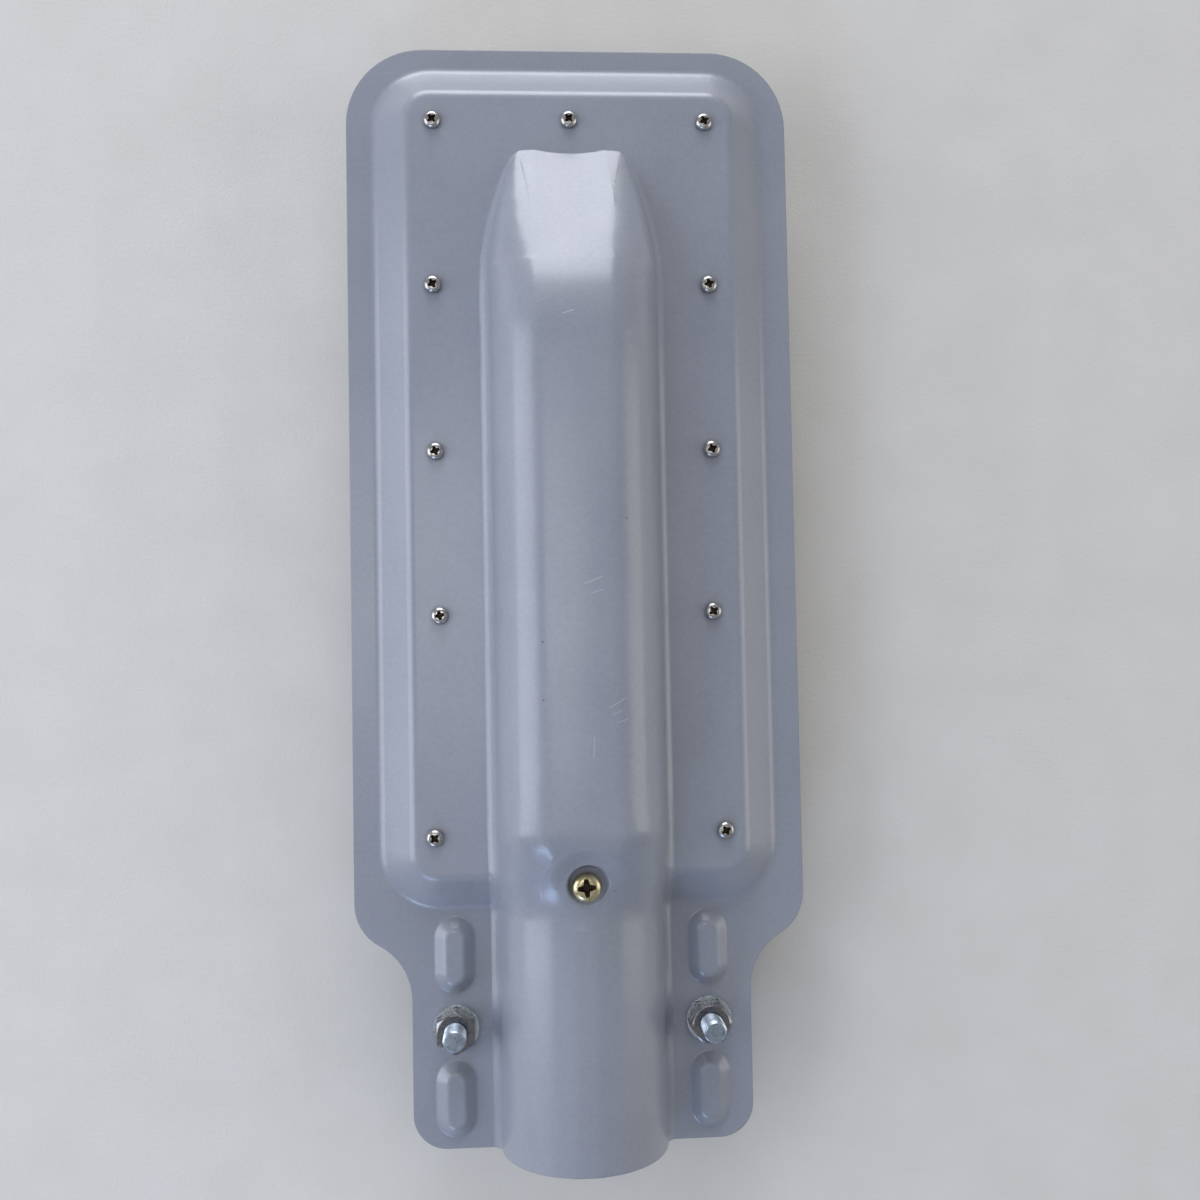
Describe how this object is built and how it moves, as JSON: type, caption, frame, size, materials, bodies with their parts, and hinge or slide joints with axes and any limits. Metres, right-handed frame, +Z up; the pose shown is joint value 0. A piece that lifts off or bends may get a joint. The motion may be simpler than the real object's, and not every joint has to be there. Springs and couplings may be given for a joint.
{
  "type": "led street light head",
  "caption": "Street light head with a pressed sheet housing, a half round pole socket, a two bolt pipe clamp and a flat LED panel behind a clear cover.",
  "frame": {"origin": "on the axis of the pole socket, at its mouth", "axes": "+Y from the pole socket to the tip, +Z up, away from the lit face, X across"},
  "size_m": [0.16, 0.393, 0.071],
  "materials": {
    "powder_coat": "semi matte powder coat",
    "bare_aluminium": "rolled sheet, white solder mask below",
    "led_phosphor": "phosphor in silicone",
    "silicone": "moulded silicone",
    "clear_cover": "clear polycarbonate",
    "black_rubber": "moulded rubber",
    "stainless": "stainless steel",
    "driver_shell": "drawn aluminium",
    "black_nylon": "moulded nylon",
    "white_nylon": "moulded nylon",
    "yellow_zinc": "yellow passivated zinc",
    "galvanised_steel": "galvanised pressed steel",
    "bright_zinc": "bright zinc plate",
    "nut_steel": "nickel grey plated steel"
  },
  "bodies": {
    "root": {"upper_housing": "powder_coat", "led_plate": "bare_aluminium", "led_chips": "led_phosphor", "cover_gasket": "silicone", "lens_cover": "clear_cover", "cable_bung": "black_rubber", "cover_screws": "stainless", "cover_washers": "stainless", "cover_nuts": "stainless", "driver_case": "driver_shell", "driver_cap_input": "black_nylon", "driver_cap_output": "black_nylon", "driver_screws": "stainless", "terminal_block": "white_nylon", "terminal_screws": "stainless", "earth_screw": "yellow_zinc", "earth_washer": "yellow_zinc", "earth_nut": "yellow_zinc", "clamp_bracket": "galvanised_steel", "clamp_bolt_left": "bright_zinc", "clamp_bolt_right": "bright_zinc", "clamp_washer_left": "bright_zinc", "clamp_washer_right": "bright_zinc", "clamp_nut_left": "nut_steel", "clamp_nut_right": "nut_steel"}
  },
  "joints": []
}
